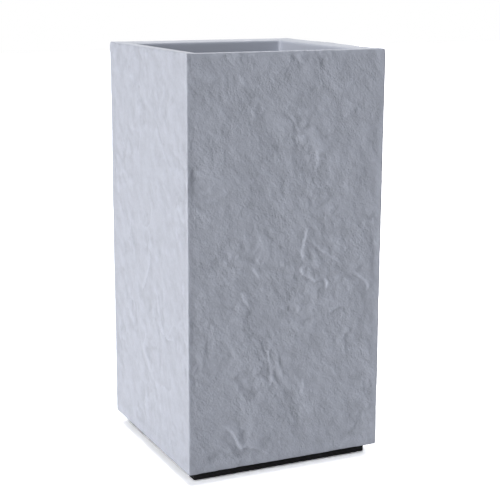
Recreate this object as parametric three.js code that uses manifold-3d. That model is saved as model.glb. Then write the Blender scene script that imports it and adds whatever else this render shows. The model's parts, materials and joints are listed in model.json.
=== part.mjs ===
// Tall square planter: a one-piece glass-fibre shell with a rolled rim, on a recessed black plinth.
// Inside it has a bonded floor with a plugged drain, and a lift-out planting shelf on ledges.
// Millimetres, +Z up. The origin is on the ground, under the middle of the shell. The front faces -Y.
import * as THREE from 'three';
import { mergeVertices } from 'three/addons/utils/BufferGeometryUtils.js';
import Module from 'manifold-3d';

const wasm = await Module();
wasm.setup();

// ---- Driving dimensions ----------------------------------------------------

// Shell, from its lower edge to the top of the rim
const shellWidth = 400;
const shellDepth = 400;
const shellHeight = 774;
const wallThickness = 6;
const outerCornerRadius = 3;
const innerCornerRadius = 10;
const lowerEdgeRadius = 4;

// Rolled rim: it slopes inwards and turns down into a lip
const rimWidth = 38.5;
const rimDrop = 2.7;
const rimOuterRadius = 3;
const rimInnerRadius = 4;
const lipDepth = 45;
const mouthCornerRadius = 6;

// Plinth: four bars set back under the shell, and the foot pads below them
const standHeight = 20;
const plinthRecess = 18;
const plinthBarWidth = 40;
const plinthCornerRadius = 2;
const flangeMargin = 2;
const padMargin = 5;
const padDrop = 2.5;
const padSeatDepth = 3.5;
const padEdgeRadius = 1.5;
const padRecessRadius = 6;
const padRecessDepth = 3.2;

// Floor and drain
const floorThickness = 6;
const drainBodyRadius = 18;
const drainBoreRadius = 13;
const drainFlangeRadius = 28;
const drainFlangeThickness = 3;
const drainChamfer = 1;
const gasketThickness = 2;
const gasketInset = 1;
const lockNutThickness = 8;
const lockNutWall = 6;
const drainThreadProud = 4;

// Drain plug, which is pushed in from above and pulled out by its knob
const plugCapRadius = 19;
const plugCapThickness = 4;
const plugStemLength = 18;
const plugTaper = 0.9;
const plugNeckRadius = 6;
const plugNeckHeight = 7;
const plugKnobRadius = 10;

// Planting shelf and the four ledges that carry it
const plantingDepth = 360;
const shelfThickness = 9;
const shelfMouthClearance = 3.5;
const shelfCornerRadius = 5;
const shelfBearing = 9;
const ledgeThickness = 5;
const ledgeLegHeight = 50;
const drainHoleRadius = 6;
const drainHolesPerRow = 5;
const fingerSlotWidth = 24;
const fingerSlotLength = 90;
const fingerSlotFromEdge = 18;
const holeFieldMargin = 20;

// Screws
const plinthScrewRadius = 2.1;
const plinthScrewHeadRadius = 4.2;
const plinthScrewHeadHeight = 2.8;
const plinthScrewBite = 4.5;
const counterboreRadius = 5.5;
const counterboreDepth = 8;
const padScrewRadius = 1.9;
const padScrewHeadRadius = 4;
const padScrewHeadHeight = 2.2;
const padScrewLength = 12;
const driveSlotWidth = 1.1;
const driveSlotLength = 4.4;
const driveSlotDepth = 1.4;

// Clearances and the fineness of round shapes
const seatGap = 0.3;
const holeClearance = 0.35;
const pilotOverrun = 0.5;
const cornerSteps = 4;
const roundingSteps = 4;
const roundSides = 24;
const screwSides = 12;

// ---- Levels and places that follow from them -------------------------------

const shellBottom = standHeight;
const shellTop = shellBottom + shellHeight;
const innerHalfX = shellWidth / 2 - wallThickness;
const innerHalfY = shellDepth / 2 - wallThickness;
const mouthHalfX = shellWidth / 2 - rimWidth;
const mouthHalfY = shellDepth / 2 - rimWidth;
const flangeWidth = plinthRecess + plinthBarWidth + flangeMargin;

const plinthHalfX = shellWidth / 2 - plinthRecess;
const plinthHalfY = shellDepth / 2 - plinthRecess;
const plinthBottom = padDrop;
const plinthTop = shellBottom - seatGap;
const frontBarY = plinthHalfY - plinthBarWidth / 2;
const sideBarX = plinthHalfX - plinthBarWidth / 2;
const sideBarHalfLength = plinthHalfY - plinthBarWidth - seatGap;

const padRadius = plinthBarWidth / 2 - padMargin;
const padX = plinthHalfX - plinthBarWidth / 2;

const floorBottom = shellBottom + wallThickness + seatGap;
const floorTop = floorBottom + floorThickness;
const gasketBottom = floorTop + seatGap;
const drainFlangeBottom = gasketBottom + gasketThickness + seatGap;
const drainFlangeTop = drainFlangeBottom + drainFlangeThickness;
const lockNutTop = floorBottom - seatGap;
const lockNutBottom = lockNutTop - lockNutThickness;
const drainBottom = lockNutBottom - drainThreadProud;
const plugBottom = drainFlangeTop + seatGap;

const shelfTop = shellTop - plantingDepth;
const shelfBottom = shelfTop - shelfThickness;
const shelfHalfX = mouthHalfX - shelfMouthClearance;
const shelfHalfY = mouthHalfY - shelfMouthClearance;
const ledgeTop = shelfBottom - seatGap;
const ledgeReach = shellWidth / 2 - shelfHalfX + shelfBearing;

// ---- Materials -------------------------------------------------------------

const paintedStone = new THREE.MeshStandardMaterial({ color: 0xb4b8c3, roughness: 0.62, metalness: 0 });
const bareLaminate = new THREE.MeshStandardMaterial({ color: 0x8e9299, roughness: 0.7, metalness: 0 });
const blackBar = new THREE.MeshStandardMaterial({ color: 0x17181a, roughness: 0.6, metalness: 0 });
const darkSheet = new THREE.MeshStandardMaterial({ color: 0x3a3d41, roughness: 0.65, metalness: 0 });
const drainPlastic = new THREE.MeshStandardMaterial({ color: 0x2a2c2f, roughness: 0.45, metalness: 0 });
const softRubber = new THREE.MeshStandardMaterial({ color: 0x202022, roughness: 0.85, metalness: 0 });
const screwSteel = new THREE.MeshStandardMaterial({ color: 0xb8babd, roughness: 0.35, metalness: 1 });

// ---- Tools for shapes ------------------------------------------------------

// A closed geometry as a solid that can be joined and cut.
function solidOf(geometry) {
  const bare = geometry.clone();
  bare.deleteAttribute('normal');
  bare.deleteAttribute('uv');
  const merged = mergeVertices(bare, 1e-4);
  return new wasm.Manifold(new wasm.Mesh({
    numProp: 3,
    vertProperties: merged.attributes.position.array,
    triVerts: new Uint32Array(merged.index.array),
  }));
}

function geometryOf(solid) {
  const mesh = solid.getMesh();
  const geometry = new THREE.BufferGeometry();
  geometry.setAttribute('position', new THREE.BufferAttribute(new Float32Array(mesh.vertProperties), 3));
  geometry.setIndex(new THREE.BufferAttribute(new Uint32Array(mesh.triVerts), 1));
  geometry.computeVertexNormals();
  return geometry;
}

// The points of a rectangle with round corners, anticlockwise from above.
function roundedRectangle(halfX, halfY, radius) {
  const points = [];
  for (let corner = 0; corner < 4; corner += 1) {
    const signX = corner === 0 || corner === 3 ? 1 : -1;
    const signY = corner < 2 ? 1 : -1;
    for (let step = 0; step <= cornerSteps; step += 1) {
      const angle = (corner + step / cornerSteps) * Math.PI / 2;
      points.push(new THREE.Vector2(
        signX * (halfX - radius) + radius * Math.cos(angle),
        signY * (halfY - radius) + radius * Math.sin(angle),
      ));
    }
  }
  return points;
}

// A closed section of [inset from the shell's outer faces, height, corner radius], carried round the
// four sides of the shell. The section runs clockwise, seen with the inset to the right.
function squareRing(section) {
  const positions = [];
  const indices = [];
  const loops = section.map(([inset, z, radius]) => roundedRectangle(
    shellWidth / 2 - inset,
    shellDepth / 2 - inset,
    radius,
  ).map((point) => [point.x, point.y, z]));
  loops.forEach((loop) => loop.forEach((point) => positions.push(...point)));
  const perLoop = loops[0].length;
  for (let row = 0; row < loops.length; row += 1) {
    const nextRow = (row + 1) % loops.length;
    for (let column = 0; column < perLoop; column += 1) {
      const nextColumn = (column + 1) % perLoop;
      const a = row * perLoop + column;
      const b = row * perLoop + nextColumn;
      const c = nextRow * perLoop + nextColumn;
      const d = nextRow * perLoop + column;
      indices.push(a, b, c, a, c, d);
    }
  }
  const geometry = new THREE.BufferGeometry();
  geometry.setAttribute('position', new THREE.Float32BufferAttribute(positions, 3));
  geometry.setIndex(indices);
  geometry.computeVertexNormals();
  return geometry;
}

// Section points on a quarter round. They turn by 90 degrees about a centre, clockwise.
function quarterRound(inset, z, radius, fromDegrees, cornerRadiusAt) {
  const points = [];
  for (let step = 0; step <= roundingSteps; step += 1) {
    const angle = THREE.MathUtils.degToRad(fromDegrees - 90 * step / roundingSteps);
    const pointInset = inset + radius * Math.cos(angle);
    points.push([pointInset, z + radius * Math.sin(angle), cornerRadiusAt(pointInset)]);
  }
  return points;
}

// A flat plate between two heights, from its outline seen from above.
function plate(outline, bottom, top) {
  const geometry = new THREE.ExtrudeGeometry(new THREE.Shape(outline), {
    depth: top - bottom,
    bevelEnabled: false,
    curveSegments: roundSides,
  });
  geometry.translate(0, 0, bottom);
  return geometry;
}

function rectangle(x0, x1, y0, y1) {
  return [[x0, y0], [x1, y0], [x1, y1], [x0, y1]].map(([x, y]) => new THREE.Vector2(x, y));
}

// A round piece on an upright axis. Its section runs from the bottom up, as [radius, height].
function turned(section, sides = roundSides) {
  const geometry = new THREE.LatheGeometry(section.map(([r, z]) => new THREE.Vector2(r, z)), sides);
  geometry.rotateX(Math.PI / 2);
  return geometry;
}

// An upright cylinder to cut with.
function drill(x, y, bottom, top, radius, sides = roundSides) {
  const geometry = turned([[0, bottom], [radius, bottom], [radius, top], [0, top]], sides);
  geometry.translate(x, y, 0);
  return solidOf(geometry);
}

function cutAll(geometry, cutters) {
  return geometryOf(cutters.reduce((left, cutter) => left.subtract(cutter), solidOf(geometry)));
}

// ---- The group and its pieces ----------------------------------------------

const planter = new THREE.Group();

function add(name, geometry, material) {
  const mesh = new THREE.Mesh(geometry, material);
  mesh.name = name;
  planter.add(mesh);
  return mesh;
}

// Two screws hold each plinth bar, at the quarter points of its length.
const plinthScrewPlaces = [];
for (const side of [-1, 1]) {
  for (const end of [-1, 1]) {
    plinthScrewPlaces.push({ bar: side < 0 ? 'front' : 'back', x: end * plinthHalfX / 2, y: side * frontBarY });
    plinthScrewPlaces.push({
      bar: side < 0 ? 'left' : 'right',
      x: side * sideBarX,
      y: end * sideBarHalfLength / 2,
    });
  }
}
const plinthScrewHoleRadius = plinthScrewRadius + holeClearance;

// Shell: walls, rolled rim with its lip, and the flange turned in at the bottom
function outerShell() {
  const outerHalf = shellWidth / 2;
  const cornerRadiusAt = (inset) => THREE.MathUtils.clamp(outerCornerRadius - inset, 0.5, outerCornerRadius);
  const mouthRadiusAt = (inset) => mouthCornerRadius + (rimWidth - inset);
  const lipInset = rimWidth - wallThickness;
  const rimLevelAt = (inset) => shellTop - rimDrop * inset / rimWidth;
  const flangeInner = Math.min(flangeWidth, outerHalf - drainFlangeRadius);
  const section = [
    // up the outer face and over the rim
    ...quarterRound(rimOuterRadius, shellTop - rimOuterRadius, rimOuterRadius, 180, cornerRadiusAt),
    ...quarterRound(
      rimWidth - rimInnerRadius,
      rimLevelAt(rimWidth) - rimInnerRadius,
      rimInnerRadius,
      90,
      mouthRadiusAt,
    ),
    // round the lip and up behind it
    [rimWidth, shellTop - lipDepth, mouthCornerRadius],
    [lipInset, shellTop - lipDepth, mouthCornerRadius + wallThickness],
    [lipInset, rimLevelAt(lipInset) - wallThickness, mouthCornerRadius + wallThickness],
    // under the rim and down the inner face to the flange
    [wallThickness, rimLevelAt(wallThickness) - wallThickness, innerCornerRadius],
    [wallThickness, shellBottom + wallThickness, innerCornerRadius],
    [flangeInner, shellBottom + wallThickness, mouthCornerRadius],
    [flangeInner, shellBottom, mouthCornerRadius],
    // round the lower edge, back to the outer face
    ...quarterRound(lowerEdgeRadius, shellBottom + lowerEdgeRadius, lowerEdgeRadius, 270, cornerRadiusAt),
  ];
  const screwHoles = plinthScrewPlaces.map(({ x, y }) => drill(
    x,
    y,
    shellBottom - 1,
    shellBottom + wallThickness + 1,
    plinthScrewHoleRadius,
    screwSides,
  ));
  return cutAll(squareRing(section), screwHoles);
}
add('outer_shell', outerShell(), paintedStone);

// Floor panel, bonded on the flange, with its drain hole and the blind pilot holes of the screws
function floorPanel() {
  const outline = roundedRectangle(innerHalfX - seatGap, innerHalfY - seatGap, innerCornerRadius - seatGap);
  const pilots = plinthScrewPlaces.map(({ x, y }) => drill(
    x,
    y,
    floorBottom - 1,
    floorBottom + plinthScrewBite + pilotOverrun,
    plinthScrewHoleRadius,
    screwSides,
  ));
  const drainHole = drill(0, 0, floorBottom - 1, floorTop + 1, drainBodyRadius + holeClearance);
  return cutAll(plate(outline, floorBottom, floorTop), [...pilots, drainHole]);
}
add('floor_panel', floorPanel(), bareLaminate);

// Plinth bars. The front and back bars run the full width and also carry the foot pads.
const padPlaces = [
  ['front_left', -padX, -frontBarY],
  ['front_right', padX, -frontBarY],
  ['back_left', -padX, frontBarY],
  ['back_right', padX, frontBarY],
];
const padTop = plinthBottom + padSeatDepth;
const padScrewTop = padRecessDepth + padScrewLength;

function screwSeats(places) {
  return places.flatMap(({ x, y }) => [
    drill(x, y, plinthBottom - 1, plinthTop + 1, plinthScrewHoleRadius, screwSides),
    drill(x, y, plinthBottom - 1, plinthBottom + counterboreDepth, counterboreRadius),
  ]);
}

function plinthBar(name, side) {
  const lengthwise = name === 'front' || name === 'back';
  const cutters = screwSeats(plinthScrewPlaces.filter((place) => place.bar === name));
  if (!lengthwise) {
    const inner = side * (plinthHalfX - plinthBarWidth);
    const outer = side * plinthHalfX;
    const outline = rectangle(
      Math.min(inner, outer),
      Math.max(inner, outer),
      -sideBarHalfLength,
      sideBarHalfLength,
    );
    return cutAll(plate(outline, plinthBottom, plinthTop), cutters);
  }
  const outline = roundedRectangle(plinthHalfX, plinthBarWidth / 2, plinthCornerRadius)
    .map((point) => new THREE.Vector2(point.x, point.y + side * frontBarY));
  padPlaces.filter(([, , y]) => y === side * frontBarY).forEach(([, x, y]) => {
    cutters.push(drill(x, y, plinthBottom - 1, padTop + seatGap, padRadius + seatGap));
    cutters.push(drill(x, y, padTop, padScrewTop + pilotOverrun, padScrewRadius + holeClearance, screwSides));
  });
  return cutAll(plate(outline, plinthBottom, plinthTop), cutters);
}
add('plinth_front', plinthBar('front', -1), blackBar);
add('plinth_back', plinthBar('back', 1), blackBar);
add('plinth_left', plinthBar('left', -1), blackBar);
add('plinth_right', plinthBar('right', 1), blackBar);

// Foot pads: rubber discs let into the bars, each with a recess that sinks its screw
function footPad() {
  const holeRadius = padScrewRadius + holeClearance;
  return turned([
    [holeRadius, padRecessDepth],
    [padRecessRadius, padRecessDepth],
    [padRecessRadius, 0],
    [padRadius - padEdgeRadius, 0],
    [padRadius, padEdgeRadius],
    [padRadius, padTop],
    [holeRadius, padTop],
    [holeRadius, padRecessDepth],
  ]);
}

// A pan-head screw that points up, with its head's bearing face at height 0 and a cross in the head
function screw(shankRadius, length, headRadius, headHeight) {
  const body = turned([
    [0, -headHeight],
    [headRadius * 0.55, -headHeight],
    [headRadius * 0.9, -headHeight * 0.65],
    [headRadius, -headHeight * 0.25],
    [headRadius, 0],
    [shankRadius, 0],
    [shankRadius, length - shankRadius],
    [0, length],
  ], screwSides);
  const drive = [0, Math.PI / 2].map((angle) => {
    const slot = new THREE.BoxGeometry(driveSlotLength, driveSlotWidth, driveSlotDepth * 2);
    slot.rotateZ(angle);
    slot.translate(0, 0, -headHeight);
    return solidOf(slot);
  });
  return cutAll(body, drive);
}

const padGeometry = footPad();
const padScrewGeometry = screw(padScrewRadius, padScrewLength, padScrewHeadRadius, padScrewHeadHeight);
for (const [place, x, y] of padPlaces) {
  add(`foot_pad_${place}`, padGeometry, softRubber).position.set(x, y, 0);
  add(`foot_screw_${place}`, padScrewGeometry, screwSteel).position.set(x, y, padRecessDepth - seatGap);
}

const plinthScrewSeat = plinthBottom + counterboreDepth - seatGap;
const plinthScrewLength = floorBottom + plinthScrewBite - plinthScrewSeat;
const plinthScrewGeometry = screw(
  plinthScrewRadius,
  plinthScrewLength,
  plinthScrewHeadRadius,
  plinthScrewHeadHeight,
);
const screwsPerBar = {};
for (const { bar, x, y } of plinthScrewPlaces) {
  screwsPerBar[bar] = (screwsPerBar[bar] || 0) + 1;
  const name = `plinth_screw_${bar}_${screwsPerBar[bar]}`;
  add(name, plinthScrewGeometry, screwSteel).position.set(x, y, plinthScrewSeat);
}

// Drain fitting: a flanged, threaded sleeve through the floor, drawn down by a nut from below
function drainFitting() {
  return turned([
    [drainBoreRadius + drainChamfer, drainBottom],
    [drainBodyRadius - drainChamfer, drainBottom],
    [drainBodyRadius, drainBottom + drainChamfer],
    [drainBodyRadius, drainFlangeBottom],
    [drainFlangeRadius, drainFlangeBottom],
    [drainFlangeRadius, drainFlangeTop - drainChamfer],
    [drainFlangeRadius - drainChamfer, drainFlangeTop],
    [drainBoreRadius + drainChamfer, drainFlangeTop],
    [drainBoreRadius, drainFlangeTop - drainChamfer],
    [drainBoreRadius, drainBottom + drainChamfer],
    [drainBoreRadius + drainChamfer, drainBottom],
  ]);
}
add('drain_fitting', drainFitting(), drainPlastic);

function drainGasket() {
  const outer = drainFlangeRadius - gasketInset;
  const inner = drainBodyRadius + holeClearance;
  return turned([
    [inner, gasketBottom],
    [outer, gasketBottom],
    [outer, gasketBottom + gasketThickness],
    [inner, gasketBottom + gasketThickness],
    [inner, gasketBottom],
  ]);
}
add('drain_gasket', drainGasket(), softRubber);

function lockNut() {
  const flats = drainBodyRadius + holeClearance + lockNutWall;
  const corners = flats / Math.cos(Math.PI / 6);
  const hexagon = turned(
    [[0, lockNutBottom], [corners, lockNutBottom], [corners, lockNutTop], [0, lockNutTop]],
    6,
  );
  return cutAll(hexagon, [
    drill(0, 0, lockNutBottom - 1, lockNutTop + 1, drainBodyRadius + holeClearance),
  ]);
}
add('drain_lock_nut', lockNut(), drainPlastic);

// Drain plug: a tapered rubber stem under a cap, with a round knob to pull it by
function drainPlug() {
  const stemTop = drainBoreRadius - holeClearance;
  const capTop = plugBottom + plugCapThickness;
  const knobMiddle = capTop + plugNeckHeight + plugKnobRadius * 0.6;
  const section = [
    [0, plugBottom - plugStemLength],
    [stemTop - plugTaper, plugBottom - plugStemLength],
    [stemTop, plugBottom - drainChamfer],
    [stemTop, plugBottom],
    [plugCapRadius, plugBottom],
    [plugCapRadius, capTop - drainChamfer],
    [plugCapRadius - drainChamfer, capTop],
    [plugNeckRadius, capTop],
    [plugNeckRadius, capTop + plugNeckHeight],
  ];
  for (let degrees = -30; degrees <= 90; degrees += 20) {
    const angle = THREE.MathUtils.degToRad(degrees);
    section.push([plugKnobRadius * Math.cos(angle), knobMiddle + plugKnobRadius * 0.7 * Math.sin(angle)]);
  }
  section[section.length - 1][0] = 0;
  return turned(section);
}
add('drain_plug', drainPlug(), softRubber);

// Ledges: an angle rail bonded round each wall, mitred into its neighbours at the corners
function ledge(quarterTurns) {
  const foot = wallThickness + seatGap;
  const outerRadius = innerCornerRadius - seatGap;
  const legRadius = Math.max(outerRadius - ledgeThickness, 0.5);
  const ledgeUnder = ledgeTop - ledgeThickness;
  const ledgeLow = ledgeTop - ledgeLegHeight;
  const ring = solidOf(squareRing([
    [foot, ledgeTop, outerRadius],
    [ledgeReach, ledgeTop, 0.5],
    [ledgeReach, ledgeUnder, 0.5],
    [foot + ledgeThickness, ledgeUnder, legRadius],
    [foot + ledgeThickness, ledgeLow, legRadius],
    [foot, ledgeLow, outerRadius],
  ]));
  const reach = Math.max(shellWidth, shellDepth);
  const wedge = plate(
    [[0, seatGap], [reach, reach + seatGap], [-reach, reach + seatGap]].map(([x, y]) => new THREE.Vector2(x, y)),
    ledgeLow - 1,
    ledgeTop + 1,
  );
  wedge.rotateZ(quarterTurns * Math.PI / 2);
  return geometryOf(ring.intersect(solidOf(wedge)));
}
['back', 'left', 'front', 'right'].forEach((place, quarterTurns) => {
  add(`shelf_ledge_${place}`, ledge(quarterTurns), bareLaminate);
});

// Planting shelf: a drilled sheet that passes the rim, with two finger slots to lift it by
function plantingShelf() {
  const cutters = [];
  const slotX = shelfHalfX - fingerSlotFromEdge - fingerSlotWidth / 2;
  const fieldHalfX = slotX - fingerSlotWidth / 2 - holeFieldMargin;
  const fieldHalfY = shelfHalfY - fingerSlotFromEdge - holeFieldMargin;
  for (let row = 0; row < drainHolesPerRow; row += 1) {
    for (let column = 0; column < drainHolesPerRow; column += 1) {
      const x = fieldHalfX * (2 * column / (drainHolesPerRow - 1) - 1);
      const y = fieldHalfY * (2 * row / (drainHolesPerRow - 1) - 1);
      cutters.push(drill(x, y, shelfBottom - 1, shelfTop + 1, drainHoleRadius, screwSides));
    }
  }
  for (const side of [-1, 1]) {
    const slot = plate(
      roundedRectangle(fingerSlotWidth / 2, fingerSlotLength / 2, fingerSlotWidth / 2),
      shelfBottom - 1,
      shelfTop + 1,
    );
    slot.translate(side * slotX, 0, 0);
    cutters.push(solidOf(slot));
  }
  const outline = roundedRectangle(shelfHalfX, shelfHalfY, shelfCornerRadius);
  return cutAll(plate(outline, shelfBottom, shelfTop), cutters);
}
add('planting_shelf', plantingShelf(), darkSheet);

export default planter;
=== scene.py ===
"""A tall square planter with a slate-textured glass-fibre shell, dressed for a studio picture.

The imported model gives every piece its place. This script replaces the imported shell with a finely
modelled one that has the cleft relief of slate on its four walls, and gives every surface a procedural
material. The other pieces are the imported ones. Lengths are in millimetres and are turned into metres
where the shell's mesh is made. The materials and the studio, further on, are in metres.
"""

import json
import math
from collections import namedtuple

import bpy
import numpy as np
from mathutils import Matrix, Vector


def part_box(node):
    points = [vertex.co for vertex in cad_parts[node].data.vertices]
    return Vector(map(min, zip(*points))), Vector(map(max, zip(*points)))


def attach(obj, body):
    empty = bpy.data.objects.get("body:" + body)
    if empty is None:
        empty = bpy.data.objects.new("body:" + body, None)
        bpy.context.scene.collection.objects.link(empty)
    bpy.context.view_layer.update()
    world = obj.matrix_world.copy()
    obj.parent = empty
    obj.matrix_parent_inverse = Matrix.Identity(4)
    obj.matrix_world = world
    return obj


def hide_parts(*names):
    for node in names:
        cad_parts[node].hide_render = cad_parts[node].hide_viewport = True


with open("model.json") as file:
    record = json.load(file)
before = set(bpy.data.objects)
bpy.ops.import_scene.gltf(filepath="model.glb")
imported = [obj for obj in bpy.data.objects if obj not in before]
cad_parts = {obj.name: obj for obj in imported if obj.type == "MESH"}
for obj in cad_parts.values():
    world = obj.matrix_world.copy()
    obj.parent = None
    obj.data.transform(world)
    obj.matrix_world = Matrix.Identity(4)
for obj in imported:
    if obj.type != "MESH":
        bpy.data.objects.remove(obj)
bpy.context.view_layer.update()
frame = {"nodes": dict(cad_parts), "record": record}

MM = 0.001


def span(node):
    """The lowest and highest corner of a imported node, in millimetres."""
    low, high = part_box(node)
    return np.array(low) / MM, np.array(high) / MM


# ---- Sizes of the shell ----------------------------------------------------

shell_low, shell_high = span("outer_shell")
SHELL_HALF = float(shell_high[0])
SHELL_BOTTOM = float(shell_low[2])
SHELL_TOP = float(shell_high[2])
SHELL_HEIGHT = SHELL_TOP - SHELL_BOTTOM
GIRTH = 8 * SHELL_HALF
WALL = 6.0
OUTER_CORNER_RADIUS = 3.0
INNER_CORNER_RADIUS = 10.0
LOWER_EDGE_RADIUS = 3.0
RIM_WIDTH = 38.5
RIM_DROP = 2.7
RIM_OUTER_RADIUS = 2.5
RIM_INNER_RADIUS = 4.0
LIP_DEPTH = 45.0
LIP_END_RADIUS = 1.0
MOUTH_CORNER_RADIUS = 6.0
FLANGE_WIDTH = 60.0
UNDER_EDGE = 10.0

# The lattice that the shell is made of
COLUMNS_PER_SIDE = 160
CORNER_STEPS = 4
ROUND_STEPS = 5
ROW_STEP = 2.5

# Edges of the shell that bend more than this are drawn sharp
SHARP_BEND = math.radians(50)

# The share of the bake map that the shell's surface fills
MAP_FILL = 0.998

# ---- Sizes of the slate relief ---------------------------------------------

RELIEF_DEPTH = 4.2
RELIEF_MIDDLE = 1.5
HOLLOW_SMOOTHING = 50
EDGE_DEPTH = 1.7
EDGE_MIDDLE = 0.65
EDGE_REACH = 16.0
EDGE_CALM = 0.4
TOP_BAND = 8.0
TOP_BAND_EDGE = 3.5
TOP_BAND_LEAN = 1.1
GRAIN_LEAN = math.radians(130)
GRAIN_STRETCH = 1.6

# What the relief is made of: how high each form is, and how long its longest waves are
WARP_REACH, WARP_LENGTH = 12, 90
WAVE_HEIGHT, WAVE_LENGTH = 1.3, 140
TERRACE_HEIGHT, TERRACE_LENGTH, TERRACE_SPACING = 0.7, 80, 0.45
LUMP_HEIGHT, LUMP_LENGTH = 1.1, 38
CHIP_DEPTH, CHIP_LENGTH = 0.5, 24
PATCH_LENGTH = 120


# ---- Noise -----------------------------------------------------------------


def ease(low, high, value):
    """0 below low, 1 above high and a smooth change between them."""
    t = np.clip((value - low) / (high - low), 0, 1)
    return t * t * (3 - 2 * t)


def soft_clip(value, softness=0.12):
    """The value kept between 0 and 1, with a soft bend near each limit."""
    above = softness * np.logaddexp(0, value / softness)
    return 1 - softness * np.logaddexp(0, (1 - above) / softness)


class Noise:
    """Smooth gradient noise on a plane, with its own repeatable pattern for each seed."""

    CELLS = 256

    def __init__(self, seed):
        self.order = np.random.default_rng(seed).permutation(self.CELLS)

    def at(self, x, y):
        cell_x = np.floor(x).astype(int)
        cell_y = np.floor(y).astype(int)
        part_x = x - cell_x
        part_y = y - cell_y
        ease_x = part_x ** 3 * (part_x * (part_x * 6 - 15) + 10)
        ease_y = part_y ** 3 * (part_y * (part_y * 6 - 15) + 10)
        total = 0.0
        for step_x in (0, 1):
            for step_y in (0, 1):
                hashed = self.order[(cell_x + step_x) % self.CELLS]
                hashed = self.order[(hashed + cell_y + step_y) % self.CELLS]
                angle = 2 * math.pi * hashed / self.CELLS
                reach = np.cos(angle) * (part_x - step_x) + np.sin(angle) * (part_y - step_y)
                share_x = ease_x if step_x else 1 - ease_x
                share_y = ease_y if step_y else 1 - ease_y
                total = total + reach * share_x * share_y
        return total * 1.5

    def layers(self, x, y, wavelength, count, fade=0.5):
        """Noise of several sizes, each half the last one in size and fade times as high."""
        total = 0.0
        height = 1.0
        for layer in range(count):
            shift = 17.3 * layer
            total = total + height * self.at(x / wavelength + shift, y / wavelength - shift)
            wavelength = wavelength / 2
            height = height * fade
        return total


# ---- The slate relief ------------------------------------------------------

Ledge = namedtuple("Ledge", "rise points")

# Ledges of the front wall, with points of [distance from the wall's left edge, distance below the rim].
# The slate is higher on the left-hand side of a ledge, for someone who walks along it.
FRONT_LEDGES = [
    Ledge(1.9, [(239, 334), (235, 358), (229, 383), (233, 402)]),
    Ledge(1.9, [
        (226, 408), (232, 425), (246, 433), (258, 440), (270, 440), (279, 438), (284, 446), (281, 462),
    ]),
    Ledge(1.2, [(244, 356), (262, 375), (282, 392), (300, 402), (314, 414)]),
    Ledge(1.6, [(334, 430), (350, 437), (364, 448), (373, 458), (371, 472)]),
    Ledge(1.6, [(105, 444), (110, 460), (117, 470), (128, 477)]),
    Ledge(1.3, [(128, 396), (132, 410), (141, 422), (143, 431)]),
    Ledge(1.2, [(139, 444), (151, 447), (160, 455)]),
    Ledge(1.9, [
        (70, 696), (82, 708), (92, 720), (99, 738), (107, 748), (122, 748), (136, 752), (168, 772),
    ]),
    Ledge(1.1, [(120, 741), (133, 742), (141, 752)]),
    Ledge(0.8, [(163, 548), (163, 580), (168, 603), (167, 640)]),
    Ledge(1.0, [(235, 622), (235, 652)]),
    Ledge(0.8, [(292, 608), (302, 625), (312, 642)]),
    Ledge(1.0, [(256, 188), (260, 210), (257, 243)]),
    Ledge(1.0, [(200, 119), (209, 134), (218, 148), (222, 166)]),
    Ledge(1.0, [(97, 50), (107, 65), (116, 80)]),
    Ledge(1.0, [(117, 31), (131, 45)]),
    Ledge(1.3, [(213, 18), (220, 29), (233, 38)]),
    Ledge(0.8, [(203, 82), (208, 92), (218, 99)]),
    Ledge(1.6, [(287, 510), (300, 501), (312, 495), (332, 497)]),
    Ledge(1.0, [(4, 742), (11, 723), (23, 711)]),
    Ledge(1.3, [(212, 38), (206, 24), (198, 12)]),
    Ledge(1.1, [(160, 399), (152, 394), (143, 396)]),
    Ledge(0.4, [(128, 205), (127, 168), (122, 136), (112, 108)]),
    Ledge(0.7, [(219, 678), (208, 660), (194, 646), (182, 630), (173, 608)]),
    Ledge(1.0, [(198, 622), (188, 596), (182, 566)]),
    Ledge(1.0, [(382, 612), (380, 584), (374, 560)]),
]

LEDGE_REACH = 26.0
LEDGE_FOOT = 11.0
LEDGE_HALF_WIDTH = 1.2
LEDGE_TAPER = 14.0
LEDGE_WOBBLE = 1.5
# A painted highlight along each ledge's edge: its half width, and the rise of a ledge whose highlight is
# full
HIGHLIGHT_HALF_WIDTH = 1.0
FULL_HIGHLIGHT = 2.4
LEDGES_PER_SIDE = 22
LEDGE_SEED = 7
LEDGE_HEADING = math.radians(-62)
REVERSED_SHARE = 0.35
SEAM_MARGIN = 20.0
SEAM_BLEND = 60.0


def wandering_ledge(rng, left):
    """A ledge that runs down the slate from a chance place, bending as it goes."""
    x = left + rng.uniform(0, 2 * SHELL_HALF)
    below = rng.uniform(2 * TOP_BAND, SHELL_HEIGHT - 4 * TOP_BAND)
    heading = rng.normal(LEDGE_HEADING, 0.3)
    rise = rng.uniform(0.6, 1.4)
    points = [(x, below)]
    for _ in range(rng.integers(3, 9)):
        length = rng.uniform(9, 18)
        heading += rng.normal(0, 0.38)
        x += length * math.cos(heading)
        below -= length * math.sin(heading)
        points.append((x, below))
    if rng.random() < REVERSED_SHARE:
        points.reverse()
    return Ledge(rise, points)


def all_ledges():
    """Every ledge of the slate, in distances round the shell and below the rim."""
    side = 2 * SHELL_HALF
    ledges = [Ledge(rise, [(side + x, y) for x, y in points]) for rise, points in FRONT_LEDGES]
    rng = np.random.default_rng(LEDGE_SEED)
    for left in (0, 2 * side, 3 * side):
        ledges += [wandering_ledge(rng, left) for _ in range(LEDGES_PER_SIDE)]
    return [
        ledge for ledge in ledges
        if all(SEAM_MARGIN < x < GIRTH - SEAM_MARGIN for x, _ in ledge.points)
    ]


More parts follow.
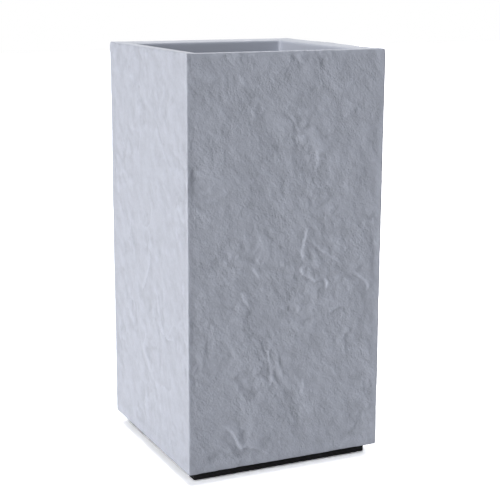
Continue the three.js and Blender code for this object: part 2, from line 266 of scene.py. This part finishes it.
def ledge_at(x, y, ledge):
    """How much a ledge raises each point of the slate near it, and its painted edge highlight there."""
    corners = np.array(ledge.points, float)
    nearest = np.full(x.shape, np.inf)
    side = np.zeros(x.shape)
    along = np.zeros(x.shape)
    walked = 0.0
    for start, end in zip(corners[:-1], corners[1:]):
        way = end - start
        length = float(np.hypot(*way))
        from_x = x - start[0]
        from_y = y - start[1]
        share = np.clip((from_x * way[0] + from_y * way[1]) / length ** 2, 0, 1)
        off = np.hypot(from_x - share * way[0], from_y - share * way[1])
        closer = off < nearest
        nearest = np.where(closer, off, nearest)
        side = np.where(closer, np.sign(from_x * way[1] - from_y * way[0]), side)
        along = np.where(closer, walked + share * length, along)
        walked += length
    taper = ease(0, LEDGE_TAPER, along) * ease(0, LEDGE_TAPER, walked - along)
    signed = nearest * side
    above = np.clip(1 - signed / LEDGE_REACH, 0, 1) ** 2
    foot = -0.35 * np.clip(1 + signed / LEDGE_FOOT, 0, 1) ** 2
    step = ease(-LEDGE_HALF_WIDTH, LEDGE_HALF_WIDTH, signed)
    height = ledge.rise * taper * (step * above + (1 - step) * foot)
    # A painted highlight on the ledge's edge, stronger for a higher ledge
    rubbed = min(ledge.rise / FULL_HIGHLIGHT, 1) * taper * np.exp(-(signed / HIGHLIGHT_HALF_WIDTH) ** 2)
    return height, rubbed


def ledges_at(around, below):
    """The height and the painted edge highlights of all the ledges together, with edges that wobble a
    little.
    """
    wobble = Noise(61)
    x = around + LEDGE_WOBBLE * wobble.layers(around, below, 14, 2)
    y = below + LEDGE_WOBBLE * wobble.layers(around + 300, below + 300, 14, 2)
    heights = np.zeros(x.shape)
    rubbed = np.zeros(x.shape)
    for ledge in all_ledges():
        low = np.min(ledge.points, axis=0) - LEDGE_REACH
        high = np.max(ledge.points, axis=0) + LEDGE_REACH
        near = (x > low[0]) & (x < high[0]) & (y > low[1]) & (y < high[1])
        height, edge = ledge_at(x[near], y[near], ledge)
        heights[near] += height
        rubbed[near] = np.maximum(rubbed[near], edge)
    return heights, rubbed


def slate_height(around, below):
    """The slate's broad waves and its finer detail, in millimetres, without the ledges."""
    warp = Noise(11)
    x = around + WARP_REACH * warp.layers(around, below, WARP_LENGTH, 3, 0.45)
    y = -below + WARP_REACH * warp.layers(around + 500, below - 300, WARP_LENGTH, 3, 0.45)
    along = (x * math.cos(GRAIN_LEAN) + y * math.sin(GRAIN_LEAN)) / GRAIN_STRETCH
    across = -x * math.sin(GRAIN_LEAN) + y * math.cos(GRAIN_LEAN)

    broad = WAVE_HEIGHT * Noise(21).layers(across, along, WAVE_LENGTH, 2)
    sheets = Noise(31).layers(across, along, TERRACE_LENGTH, 3, 0.5) / TERRACE_SPACING
    whole = np.floor(sheets)
    terraces = TERRACE_HEIGHT * (whole + ease(0.6, 1.0, sheets - whole))
    patches = ease(-0.25, 0.35, Noise(41).layers(around, below, PATCH_LENGTH, 2))
    lumps = LUMP_HEIGHT * Noise(51).layers(across, along, LUMP_LENGTH, 3, 0.55)
    chips = CHIP_DEPTH * ease(0.40, 0.52, Noise(71).layers(x, y, CHIP_LENGTH, 2, 0.6))
    return broad, patches * (terraces - chips) + (0.75 + 0.45 * patches) * lumps


def slate_surface(around, below):
    """How far the slate lies behind the shell's outer face, in millimetres, and its painted edge
    highlights.
    """
    blend = ease(GIRTH - SEAM_BLEND, GIRTH, around)
    here = slate_height(around, below)
    before = slate_height(around - GIRTH, below)
    broad, detail = (a * (1 - blend) + b * blend for a, b in zip(here, before))
    ledges, rubbed = ledges_at(around, below)
    detail = detail + ledges

    to_corner = np.abs((around + SHELL_HALF) % (2 * SHELL_HALF) - SHELL_HALF)
    inland = ease(0, EDGE_REACH, np.minimum(to_corner, SHELL_HEIGHT - below))
    heights = (EDGE_CALM + (1 - EDGE_CALM) * inland) * (broad + detail)
    deepest = EDGE_DEPTH + (RELIEF_DEPTH - EDGE_DEPTH) * inland
    middle = EDGE_MIDDLE + (RELIEF_MIDDLE - EDGE_MIDDLE) * inland
    depths = deepest * soft_clip((middle - heights + np.median(heights)) / deepest)
    return depths * ease(TOP_BAND - TOP_BAND_EDGE, TOP_BAND + TOP_BAND_EDGE, below), rubbed


# ---- The shell's mesh ------------------------------------------------------

Station = namedtuple("Station", "inset height corner out cleft painted")


def quarter_round(inset, height, radius, from_degrees, corner_at, cleft):
    """Stations on a quarter round that turns by 90 degrees about a centre."""
    stations = []
    for step in range(ROUND_STEPS + 1):
        angle = math.radians(from_degrees - 90 * step / ROUND_STEPS)
        out = (math.cos(angle), math.sin(angle))
        at = inset + radius * out[0]
        stations.append(Station(at, height + radius * out[1], corner_at(at), out, cleft, True))
    return stations


def between(start, end, count):
    """The stations that divide the way from one station to another into equal steps."""
    stations = []
    for step in range(1, count):
        t = step / count
        middle = [a + (b - a) * t for a, b in zip(start[:3], end[:3])]
        stations.append(Station(*middle, *start[3:]))
    return stations


def shell_section():
    """The shell's closed section: up the outer face from under its lower edge, over the rim and down."""

    def outer_corner(inset):
        return min(max(OUTER_CORNER_RADIUS - inset, 0.5), OUTER_CORNER_RADIUS)

    def mouth_corner(inset):
        return MOUTH_CORNER_RADIUS + RIM_WIDTH - inset

    def rim_level(inset):
        return SHELL_TOP - RIM_DROP * inset / RIM_WIDTH

    lower_centre = SHELL_BOTTOM + LOWER_EDGE_RADIUS
    upper_centre = SHELL_TOP - RIM_OUTER_RADIUS
    mouth_centre = rim_level(RIM_WIDTH) - RIM_INNER_RADIUS
    lower = quarter_round(LOWER_EDGE_RADIUS, lower_centre, LOWER_EDGE_RADIUS, 270, outer_corner, 1)
    band_foot = Station(0, SHELL_TOP - TOP_BAND, OUTER_CORNER_RADIUS, (-1, 0), 1, True)
    upper_inset = RIM_OUTER_RADIUS + TOP_BAND_LEAN
    upper = quarter_round(upper_inset, upper_centre, RIM_OUTER_RADIUS, 180, outer_corner, 1)
    mouth_inset = RIM_WIDTH - RIM_INNER_RADIUS
    mouth = quarter_round(mouth_inset, mouth_centre, RIM_INNER_RADIUS, 90, mouth_corner, 0)
    wall_rows = round((band_foot.height - lower_centre) / ROW_STEP)

    lip_inset = RIM_WIDTH - WALL
    lip_end = SHELL_TOP - LIP_DEPTH
    lip_corner = MOUTH_CORNER_RADIUS + WALL
    lip_front = Station(RIM_WIDTH, lip_end + LIP_END_RADIUS, MOUTH_CORNER_RADIUS, (1, 0), 0, True)
    lip_edge = [
        Station(RIM_WIDTH - LIP_END_RADIUS, lip_end, MOUTH_CORNER_RADIUS, (0, -1), 0, True),
        Station(lip_inset + LIP_END_RADIUS, lip_end, lip_corner, (0, -1), 0, False),
    ]
    lip_back = Station(lip_inset, lip_end + LIP_END_RADIUS, lip_corner, (-1, 0), 0, False)
    lip_root = Station(lip_inset, rim_level(lip_inset) - WALL, lip_corner, (-1, 0), 0, False)
    wall_top = Station(WALL, rim_level(WALL) - WALL, INNER_CORNER_RADIUS, (1, 0), 0, False)
    wall_foot = Station(WALL, SHELL_BOTTOM + WALL, INNER_CORNER_RADIUS, (1, 0), 0, False)
    flange = [
        Station(FLANGE_WIDTH, SHELL_BOTTOM + WALL, MOUTH_CORNER_RADIUS, (0, 1), 0, False),
        Station(FLANGE_WIDTH, SHELL_BOTTOM, MOUTH_CORNER_RADIUS, (0, -1), 0, False),
        Station(UNDER_EDGE, SHELL_BOTTOM, outer_corner(UNDER_EDGE), (0, -1), 0, True),
    ]
    return [
        *lower, *between(lower[-1], band_foot, wall_rows), band_foot,
        *between(band_foot, upper[0], 4), *upper,
        *between(upper[-1], mouth[0], 8), *mouth,
        *between(mouth[-1], lip_front, 12), lip_front, *lip_edge, lip_back,
        *between(lip_back, lip_root, 4), lip_root, *between(lip_root, wall_top, 4), wall_top,
        *between(wall_top, wall_foot, 40), wall_foot, *flange,
    ]


# Each side's outward direction and the onward direction along it, seen from outside from left to right
SIDES = (((-1, 0), (0, -1)), ((0, -1), (1, 0)), ((1, 0), (0, 1)), ((0, 1), (-1, 0)))


def shell_columns():
    """For each column: outward and onward directions, place along the side and turn at its corner."""
    columns = []
    for outward, onward in SIDES:
        for step in range(COLUMNS_PER_SIDE + 1):
            columns.append((outward, onward, -1 + 2 * step / COLUMNS_PER_SIDE, 0.0))
        for step in range(1, CORNER_STEPS):
            columns.append((outward, onward, 1.0, math.pi / 2 * step / CORNER_STEPS))
    return columns


def smoothed(values, times):
    """The values of a lattice that closes round the shell, blended with their neighbours some times."""
    for _ in range(times):
        padded = np.pad(values, ((1, 1), (0, 0)), mode="edge")
        sides = np.roll(values, 1, axis=1) + np.roll(values, -1, axis=1)
        values = (values + padded[:-2] + padded[2:] + sides) / 5
    return values


def shell_lattice():
    """The shell's points by station and column, with what its material needs to know of each."""
    section = shell_section()
    columns = shell_columns()
    inset, height, corner = (np.array([s[k] for s in section], float)[:, None] for k in range(3))
    out = np.array([s.out for s in section], float)
    outward, onward = (np.array([c[k] for c in columns], float)[None] for k in range(2))
    place, turn = (np.array([c[k] for c in columns], float)[None] for k in range(2, 4))

    facing = outward * np.cos(turn)[..., None] + onward * np.sin(turn)[..., None]
    straight = SHELL_HALF - inset - corner
    flat = outward * straight[..., None] + onward * (place * straight)[..., None]
    flat = flat + facing * corner[..., None]
    up = np.concatenate([[0], np.cumsum(np.hypot(np.diff(inset[:, 0]), np.diff(height[:, 0])))])
    side = np.repeat(np.arange(4), len(columns) // 4)[None]
    around = side * 2 * SHELL_HALF + SHELL_HALF + place * (SHELL_HALF - OUTER_CORNER_RADIUS)
    around = around + turn / (math.pi / 2) * 2 * OUTER_CORNER_RADIUS

    cleft_rows = sum(s.cleft for s in section)
    wall_top = cleft_rows - ROUND_STEPS - 1
    below = (up[wall_top] + RIM_OUTER_RADIUS - up[:cleft_rows])[:, None]
    grid = np.zeros((cleft_rows, len(columns)))
    depths, edges = slate_surface(around + grid, below + grid)
    normal = np.concatenate(
        [-out[:cleft_rows, None, :1] * facing, out[:cleft_rows, None, 1:] + grid[..., None]], axis=2
    )
    points = np.concatenate([flat, height[..., None] + np.zeros(flat.shape[:2] + (1,))], axis=2)
    points[:cleft_rows] -= depths[..., None] * normal

    cleft = np.zeros(flat.shape[:2])
    hollow = np.zeros(flat.shape[:2])
    rubbed = np.zeros(flat.shape[:2])
    cleft[:cleft_rows] = ease(TOP_BAND - TOP_BAND_EDGE, TOP_BAND + TOP_BAND_EDGE, below)
    # Painted shade: how far each point lies deeper than its smoothed neighbours, which the material
    # darkens, and lightens where negative
    hollow[:cleft_rows] = depths - smoothed(depths, HOLLOW_SMOOTHING)
    rubbed[:cleft_rows] = edges
    return section, points, around[0], up, {"cleft": cleft, "hollow": hollow, "rubbed": rubbed}


def shell_mesh():
    """The shell's mesh, with a flat map of its surface and its relief as attributes."""
    section, points, around, up, traits = shell_lattice()
    rows, columns = points.shape[:2]
    row = np.arange(rows)[:, None]
    column = np.arange(columns)[None]
    next_row = (row + 1) % rows
    next_column = (column + 1) % columns
    corners = [(row, column), (row, next_column), (next_row, next_column), (next_row, column)]
    quads = np.stack([a * columns + b for a, b in corners], axis=2).reshape(-1, 4)

    mesh = bpy.data.meshes.new("slate_shell")
    mesh.from_pydata((points.reshape(-1, 3) * MM).tolist(), [], quads.tolist())
    closing = np.hypot(section[-1].inset - section[0].inset, section[-1].height - section[0].height)
    u = np.concatenate([around, [around[0] + GIRTH]])
    v = np.concatenate([up, [up[-1] + closing]])
    low_u, high_u = u[:-1][None] + 0 * row, u[1:][None] + 0 * row
    low_v, high_v = v[:-1][:, None] + 0 * column, v[1:][:, None] + 0 * column
    spread = np.stack([low_u, low_v, high_u, low_v, high_u, high_v, low_u, high_v], axis=2).reshape(-1, 2)
    for name, scale in (("Surface", MM), ("OFBake", MAP_FILL / max(u[-1], v[-1]))):
        mesh.uv_layers.new(name=name).data.foreach_set("uv", (spread * scale).ravel())
    for name, values in traits.items():
        attribute = mesh.attributes.new(name, "FLOAT", "POINT")
        attribute.data.foreach_set("value", values.ravel())
    painted = np.array([s.painted for s in section])[:, None] + 0 * column
    mesh.polygons.foreach_set("material_index", (1 - painted).ravel().astype(int))
    mesh.polygons.foreach_set("use_smooth", np.ones(len(quads), bool))
    mesh.set_sharp_from_angle(angle=SHARP_BEND)
    mesh.update()
    return mesh


# ---- Materials -------------------------------------------------------------


class Nodes:
    """The node tree of a material or world. Each call adds a node and fills or links its inputs."""

    def __init__(self, owner, output="ShaderNodeOutputMaterial"):
        owner.use_nodes = True
        self.owner = owner
        self.tree = owner.node_tree
        self.tree.nodes.clear()
        self.output = self.add(output)

    def add(self, kind, inputs=None, **options):
        node = self.tree.nodes.new(kind)
        for name, value in options.items():
            setattr(node, name, value)
        for key, value in (inputs or {}).items():
            if isinstance(value, bpy.types.NodeSocket):
                self.tree.links.new(value, node.inputs[key])
            else:
                node.inputs[key].default_value = value
        return node

    def noise(self, vector, scale, detail=2.0, roughness=0.5):
        """A noise value of about 0 to 1, whose largest waves are about 1 / scale metres long."""
        inputs = {"Vector": vector, "Scale": scale, "Detail": detail, "Roughness": roughness}
        return self.add("ShaderNodeTexNoise", inputs).outputs["Fac"]

    def mapped(self, vector, scale=(1, 1, 1), rotation=(0, 0, 0)):
        return self.add(
            "ShaderNodeMapping", {"Vector": vector, "Scale": scale, "Rotation": rotation}
        ).outputs["Vector"]

    def ramp(self, factor, low, high, from_value=0.0, to_value=1.0):
        """The factor's range turned into another range."""
        inputs = {"Value": factor, "From Min": low, "From Max": high}
        inputs.update({"To Min": from_value, "To Max": to_value})
        return self.add("ShaderNodeMapRange", inputs).outputs["Result"]

    def math(self, operation, first, second):
        return self.add("ShaderNodeMath", {0: first, 1: second}, operation=operation).outputs["Value"]

    def blend(self, factor, first, second):
        """A colour between two colours."""
        node = self.add("ShaderNodeMix", {"Factor": factor, "A": first, "B": second}, data_type="RGBA")
        return node.outputs[2]

    def bump(self, height, distance, strength=1.0, normal=None):
        inputs = {"Height": height, "Distance": distance, "Strength": strength}
        if normal is not None:
            inputs["Normal"] = normal
        return self.add("ShaderNodeBump", inputs).outputs["Normal"]

    def finish(self, inputs, kind="ShaderNodeBsdfPrincipled"):
        """Adds the shader, links it to the output and gives back the finished material or world."""
        shader = self.add(kind, inputs)
        self.tree.links.new(shader.outputs[0], self.output.inputs["Surface"])
        return self.owner


def material_nodes(name):
    """The empty node tree of a new material."""
    return Nodes(bpy.data.materials.new(name))


def shade(colour, share):
    """A colour made lighter or darker, with alpha."""
    return tuple(min(part * share, 1.0) for part in colour) + (1.0,)


STONE_COLOUR = (0.46, 0.48, 0.54)


def painted_slate():
    """The satin blue-grey paint of the shell, with the slate's finest grain where the wall is cleft."""
    n = material_nodes("painted_slate")
    surface = n.add("ShaderNodeUVMap", uv_map="Surface").outputs["UV"]
    cleft = n.add("ShaderNodeAttribute", attribute_name="cleft").outputs["Fac"]
    hollow = n.add("ShaderNodeAttribute", attribute_name="hollow").outputs["Fac"]
    rubbed = n.add("ShaderNodeAttribute", attribute_name="rubbed").outputs["Fac"]
    lean = (0, 0, -(GRAIN_LEAN - math.pi / 2))
    grained = n.mapped(n.mapped(surface, rotation=lean), scale=(1, 1 / GRAIN_STRETCH, 1))

    cloud = n.noise(surface, 12, 4, 0.55)
    mottle = n.noise(grained, 45, 3, 0.6)
    fleck = n.noise(surface, 170, 3, 0.65)
    tone = n.ramp(cloud, 0.3, 0.7, -0.12, 0.12)
    marks = n.math("ADD", n.ramp(mottle, 0.3, 0.7, -0.35, 0.35), n.ramp(fleck, 0.3, 0.7, -0.35, 0.35))
    tone = n.math("ADD", tone, n.math("MULTIPLY", cleft, marks))
    # Painted shade and light: the relief's hollows are made darker and its high places lighter
    tone = n.math("SUBTRACT", tone, n.ramp(hollow, -0.9, 0.9, -1.0, 1.0))
    factor = n.ramp(tone, -1.0, 1.0)
    colour = n.blend(factor, shade(STONE_COLOUR, 0.865), shade(STONE_COLOUR, 1.135))
    # Painted highlight: a paler line along each ledge's edge, where light would catch it
    colour = n.blend(n.math("MULTIPLY", rubbed, 0.65), colour, shade(STONE_COLOUR, 1.4))

    ripple = n.noise(grained, 70, 5, 0.62)
    grain = n.noise(surface, 230, 3, 0.65)
    skin = n.noise(surface, 900, 2, 0.5)
    roughened = n.ramp(n.noise(surface, 16, 3, 0.6), 0.35, 0.65, 0.5, 1.0)
    stone = n.bump(ripple, 0.0030, roughened)
    stone = n.bump(grain, 0.0011, roughened, stone)
    smooth = n.bump(skin, 0.00004, 1.0)
    normals = {"Factor": cleft, "A": smooth, "B": stone}
    mixed = n.add("ShaderNodeMix", normals, data_type="VECTOR").outputs[1]
    gloss = n.ramp(n.noise(surface, 60, 3), 0.3, 0.7, 0.40, 0.50)
    roughness = n.math("ADD", gloss, n.math("MULTIPLY", cleft, 0.17))
    return n.finish({"Base Color": colour, "Roughness": roughness, "Normal": mixed})


def softened_edges(n, radius=0.0005):
    """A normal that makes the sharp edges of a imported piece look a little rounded."""
    return n.add("ShaderNodeBevel", {"Radius": radius}, samples=4).outputs["Normal"]


def plain_finish(name, colour, roughness, scale=400.0, distance=0.00005, specular=0.5, metallic=0.0):
    """A moulded or cut surface with a slight grain and slightly uneven colour."""
    n = material_nodes(name)
    place = n.add("ShaderNodeTexCoord").outputs["Object"]
    cloud = n.noise(place, scale / 12, 3)
    grain = n.noise(place, scale, 3, 0.6)
    return n.finish({
        "Base Color": n.blend(n.ramp(cloud, 0.3, 0.7), shade(colour, 0.9), shade(colour, 1.1)),
        "Metallic": metallic,
        "Roughness": n.ramp(grain, 0.3, 0.7, roughness - 0.06, roughness + 0.06),
        "Specular IOR Level": specular,
        "Normal": n.bump(grain, distance, normal=softened_edges(n)),
    })


def strand_laminate():
    """Bare glass-fibre laminate, with chopped strands lying every way under the resin."""
    n = material_nodes("bare_laminate")
    place = n.add("ShaderNodeTexCoord").outputs["Object"]
    strands = []
    for turn in (0.3, 1.35, 2.4):
        turned = n.mapped(place, rotation=(turn, 0.7 * turn, turn))
        strands.append(n.noise(n.mapped(turned, scale=(1, 0.07, 1)), 330, 1))
    strand = n.ramp(n.math("MAXIMUM", n.math("MAXIMUM", *strands[:2]), strands[2]), 0.5, 0.75)
    pool = n.noise(place, 28, 3, 0.55)
    tone = n.math("ADD", n.math("MULTIPLY", strand, 0.6), n.ramp(pool, 0.3, 0.7, 0.0, 0.4))
    height = n.math("ADD", n.math("MULTIPLY", strand, 0.35), pool)
    return n.finish({
        "Base Color": n.blend(tone, (0.25, 0.26, 0.28, 1), (0.36, 0.37, 0.385, 1)),
        "Roughness": n.ramp(pool, 0.3, 0.7, 0.45, 0.7),
        "Normal": n.bump(height, 0.0012, normal=softened_edges(n)),
    })


def pebbled_sheet():
    """The shelf's plastic sheet, with a pebbled skin and faint scuffs."""
    n = material_nodes("pebbled_sheet")
    place = n.add("ShaderNodeTexCoord").outputs["Object"]
    pebbles = n.add("ShaderNodeTexVoronoi", {"Vector": place, "Scale": 650.0}, feature="SMOOTH_F1")
    scuffs = n.noise(n.mapped(place, rotation=(0, 0, 0.6), scale=(1, 0.08, 1)), 110, 3, 0.6)
    worn = n.ramp(scuffs, 0.55, 0.75)
    return n.finish({
        "Base Color": n.blend(worn, (0.043, 0.046, 0.05, 1), (0.066, 0.069, 0.073, 1)),
        "Roughness": n.ramp(scuffs, 0.35, 0.75, 0.58, 0.48),
        "Normal": n.bump(pebbles.outputs["Distance"], -0.00025, normal=softened_edges(n, 0.0008)),
    })


# ---- Pieces ----------------------------------------------------------------


def piece(name, mesh, body, replaced, materials):
    """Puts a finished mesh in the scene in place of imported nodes."""
    made = bpy.data.objects.new(name, mesh)
    bpy.context.scene.collection.objects.link(made)
    for material in materials:
        mesh.materials.append(material)
    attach(made, body)
    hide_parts(*replaced)


def dress(node, material):
    """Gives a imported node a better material."""
    made = frame["nodes"][node]
    for slot in made.material_slots:
        slot.material = material


# ---- Studio ----------------------------------------------------------------

CAMERA_PLACE = Vector((-1.0436, -2.2471, 0.9343))
CAMERA_YAW = 0.4412
CAMERA_PITCH = -0.2161
CAMERA_ROLL = 0.0041
CAMERA_LENS = 91.9


def set_camera():
    """The camera that was fitted to the reference view."""
    forward = Vector((
        math.sin(CAMERA_YAW) * math.cos(CAMERA_PITCH),
        math.cos(CAMERA_YAW) * math.cos(CAMERA_PITCH),
        math.sin(CAMERA_PITCH),
    ))
    level = Vector((math.cos(CAMERA_YAW), -math.sin(CAMERA_YAW), 0))
    steep = level.cross(forward)
    right = math.cos(CAMERA_ROLL) * level + math.sin(CAMERA_ROLL) * steep
    up = math.cos(CAMERA_ROLL) * steep - math.sin(CAMERA_ROLL) * level
    lens = bpy.data.cameras.new("camera")
    lens.lens = CAMERA_LENS
    lens.sensor_width = 36
    lens.clip_end = 100
    camera = bpy.data.objects.new("camera", lens)
    turn = Matrix((right, up, -forward)).transposed().to_4x4()
    camera.matrix_world = Matrix.Translation(CAMERA_PLACE) @ turn
    bpy.context.scene.collection.objects.link(camera)
    bpy.context.scene.camera = camera


def seen_directly(n):
    """1 for a ray from the camera, a mirror or glass, and 0 for the light that falls on things."""
    path = n.add("ShaderNodeLightPath").outputs
    direct = n.math("MAXIMUM", path["Is Camera Ray"], path["Is Glossy Ray"])
    return n.math("MAXIMUM", direct, path["Is Transmission Ray"])


FLOOR_HALF = 12.0
FLOOR_SEEN = 2.6
FLOOR_LIT = 0.25


def set_floor():
    """A pale floor. It looks white in the light and keeps the planter's shadow."""
    half = FLOOR_HALF
    mesh = bpy.data.meshes.new("floor")
    corners = [(-half, -half, 0), (half, -half, 0), (half, half, 0), (-half, half, 0)]
    mesh.from_pydata(corners, [], [(0, 1, 2, 3)])
    floor = bpy.data.objects.new("floor", mesh)
    bpy.context.scene.collection.objects.link(floor)
    n = material_nodes("floor")
    lit = (FLOOR_LIT, FLOOR_LIT, FLOOR_LIT, 1)
    bright = (FLOOR_SEEN, FLOOR_SEEN, FLOOR_SEEN, 1)
    colour = n.blend(seen_directly(n), lit, bright)
    mesh.materials.append(n.finish({"Color": colour}, "ShaderNodeBsdfDiffuse"))


DOME_LIGHT = (0.085, 0.09, 0.10)


def set_world():
    """White where it is seen directly, and a dim even light on everything else."""
    n = Nodes(bpy.data.worlds.new("studio"), "ShaderNodeOutputWorld")
    colour = n.blend(seen_directly(n), (*DOME_LIGHT, 1), (1, 1, 1, 1))
    bpy.context.scene.world = n.finish({"Color": colour}, "ShaderNodeBackground")


def add_sun(name, toward, level, spread_degrees, tint=(1, 1, 1)):
    """A soft lamp. A surface that faces it square has the lamp's level times its own colour."""
    lamp = bpy.data.lights.new(name, "SUN")
    lamp.energy = level * math.pi
    lamp.angle = math.radians(spread_degrees)
    lamp.color = tint
    made = bpy.data.objects.new(name, lamp)
    made.rotation_euler = (-Vector(toward)).to_track_quat("-Z", "Y").to_euler()
    bpy.context.scene.collection.objects.link(made)


def add_softbox(name, place, target, width, height, power, tint=(1, 1, 1)):
    """A rectangular lamp at a place, turned towards its target, that the camera doesn't see."""
    lamp = bpy.data.lights.new(name, "AREA")
    lamp.shape = "RECTANGLE"
    lamp.size = width
    lamp.size_y = height
    lamp.energy = power
    lamp.color = tint
    made = bpy.data.objects.new(name, lamp)
    made.location = place
    made.rotation_euler = (Vector(target) - Vector(place)).to_track_quat("-Z", "Y").to_euler()
    made.visible_camera = False
    bpy.context.scene.collection.objects.link(made)


def set_studio():
    bpy.context.scene.view_settings.view_transform = "Standard"
    set_camera()
    set_floor()
    set_world()
    add_sun("key_light", (-0.93, -0.30, 0.24), 0.71, 24, (1.0, 1.0, 1.02))
    add_sun("front_fill", (-0.30, -0.80, 0.35), 0.15, 40, (0.94, 1.0, 1.1))
    add_sun("overhead_light", (0, 0.1, 1), 0.275, 30)
    add_sun("back_fill", (0.5, 0.5, 0.8), 0.34, 40)
    add_softbox("left_softbox", (-5.0, -1.6, 0.40), (0, 0, 0.40), 1.8, 0.76, 54, (1.02, 0.985, 0.94))


# ---- The planter -----------------------------------------------------------

laminate = strand_laminate()
piece("planter_shell", shell_mesh(), "planter", ["outer_shell"], [painted_slate(), laminate])

FINISHES = {
    "laminate": laminate,
    "plinth": plain_finish("black_bar", (0.006, 0.006, 0.0065), 0.8, specular=0.15),
    "shelf": pebbled_sheet(),
    "drain_plastic": plain_finish("black_plastic", (0.02, 0.022, 0.024), 0.45, 500),
    "drain_rubber": plain_finish("drain_rubber", (0.018, 0.018, 0.018), 0.8, 500),
    "pads": plain_finish("pad_rubber", (0.02, 0.02, 0.02), 0.85, 250, 0.0001),
    "screws": plain_finish("steel", (0.55, 0.56, 0.57), 0.3, 800, 0.00002, metallic=1.0),
}
for part in frame["record"]["subparts"]:
    if part["material_slot"] in FINISHES:
        dress(part["node"], FINISHES[part["material_slot"]])

set_studio()
